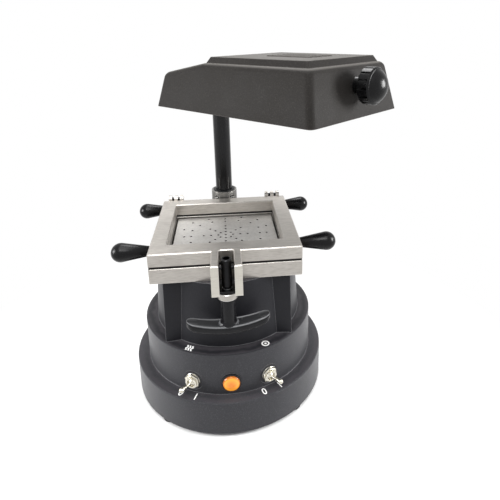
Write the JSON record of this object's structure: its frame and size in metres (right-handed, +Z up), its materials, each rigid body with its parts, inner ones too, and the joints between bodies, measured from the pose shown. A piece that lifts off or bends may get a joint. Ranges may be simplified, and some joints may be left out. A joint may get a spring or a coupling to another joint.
{
  "type": "dental vacuum former",
  "caption": "Bench vacuum former: round stepped base with motor, perforated table, hinged clamping frames that slide on a post, and a swinging heater head.",
  "frame": {"origin": "on the bench, under the centre of the round base", "axes": "+X to the right when facing the switches, +Y to the back where the post stands, +Z up"},
  "size_m": [0.2906, 0.2619, 0.3552],
  "materials": {
    "charcoal_paint": "fine textured",
    "head_paint": "fine textured",
    "gloss_black_paint": "gloss",
    "brushed_aluminium": "brushed",
    "satin_aluminium": "satin",
    "zinc_steel": "zinc plated",
    "dark_steel": "oiled",
    "nickel": "bright nickel",
    "black_phenolic": "gloss",
    "black_nylon": "matte",
    "black_rubber": "matte",
    "pale_nylon": "matte",
    "ceramic": "fired, dull",
    "amber_lens": "clear amber"
  },
  "bodies": {
    "base": {"base_shell": "charcoal_paint", "base_pan": "zinc_steel", "rubber_feet": "black_rubber", "pan_screws": "zinc_steel", "motor_can": "zinc_steel", "motor_bearings": "dark_steel", "motor_stator": "dark_steel", "turbine_housing": "zinc_steel", "turbine_gasket": "black_rubber", "clamp_ring": "zinc_steel", "clamp_bolts": "zinc_steel", "terminal_block": "pale_nylon", "toggle_bodies": "nickel", "toggle_nuts": "nickel", "lamp_body": "black_nylon", "lamp_bezel": "black_nylon", "lamp_lens": "amber_lens", "cable_gland": "black_nylon", "fuse_holder": "black_nylon", "plenum_gasket": "black_rubber", "table_plenum": "satin_aluminium", "vacuum_table": "satin_aluminium", "table_screws": "zinc_steel", "heater_post": "gloss_black_paint", "post_screw": "dark_steel", "thrust_collar": "dark_steel"},
    "carriage": {"lower_frame": "brushed_aluminium", "collar_bush": "black_nylon", "lower_gasket": "black_rubber", "rear_grips": "black_phenolic", "rear_studs": "zinc_steel", "hinge_pins": "dark_steel", "key_screw": "dark_steel", "latch_keeper": "zinc_steel"},
    "upper_frame": {"upper_frame": "brushed_aluminium", "upper_gasket": "black_rubber", "front_grips": "black_phenolic", "front_studs": "zinc_steel", "latch_pin": "dark_steel"},
    "latch_barrel": {"latch_barrel": "dark_steel"},
    "latch_handle": {"latch_screw": "zinc_steel", "latch_washer": "brushed_aluminium", "latch_handle": "black_phenolic"},
    "heater_head": {"heater_cover": "head_paint", "bottom_plate": "zinc_steel", "guard_grille": "zinc_steel", "reflector": "satin_aluminium", "heating_element": "dark_steel", "element_posts": "ceramic", "head_hub": "satin_aluminium", "hub_screws": "zinc_steel", "plate_screws": "zinc_steel", "knob_stud": "zinc_steel", "head_knob": "black_phenolic"},
    "motor_rotor": {"motor_shaft": "dark_steel", "suction_fan": "satin_aluminium"},
    "toggle_left": {"toggle_lever_left": "nickel"},
    "toggle_right": {"toggle_lever_right": "nickel"}
  },
  "joints": [
    {"name": "heater_swing", "type": "hinge", "parent": "base", "child": "heater_head", "pos_m": [0, 0.094, 0.3], "axis": [0, 0, -1], "range_deg": [-50, 42.4]},
    {"name": "carriage_lift", "type": "slide", "parent": "base", "child": "carriage", "axis": [0, 0, 1], "range_m": [0, 0.085]},
    {"name": "frame_open", "type": "hinge", "parent": "carriage", "child": "upper_frame", "pos_m": [0, 0.082, 0.1818], "axis": [1, 0, 0], "range_deg": [-42, 0]},
    {"name": "latch_swing", "type": "hinge", "parent": "upper_frame", "child": "latch_barrel", "pos_m": [0, -0.0855, 0.17497], "axis": [1, 0, 0], "range_deg": [-80, 0]},
    {"name": "handle_turn", "type": "hinge", "parent": "carriage", "child": "latch_handle", "pos_m": [0, -0.0855, 0.13], "axis": [0, 0, 1], "range_deg": [-11.5, 4.5]},
    {"name": "toggle_left_throw", "type": "hinge", "parent": "base", "child": "toggle_left", "pos_m": [-0.03836, -0.08417, 0.053], "axis": [0, 0, 1], "range_deg": [0, 34]},
    {"name": "toggle_right_throw", "type": "hinge", "parent": "base", "child": "toggle_right", "pos_m": [0.03836, -0.08417, 0.053], "axis": [0, 0, 1], "range_deg": [-34, 0]},
    {"name": "motor_spin", "type": "hinge", "parent": "base", "child": "motor_rotor", "pos_m": [0, 0, 0.08], "axis": [0, 0, 1], "continuous": true}
  ]
}
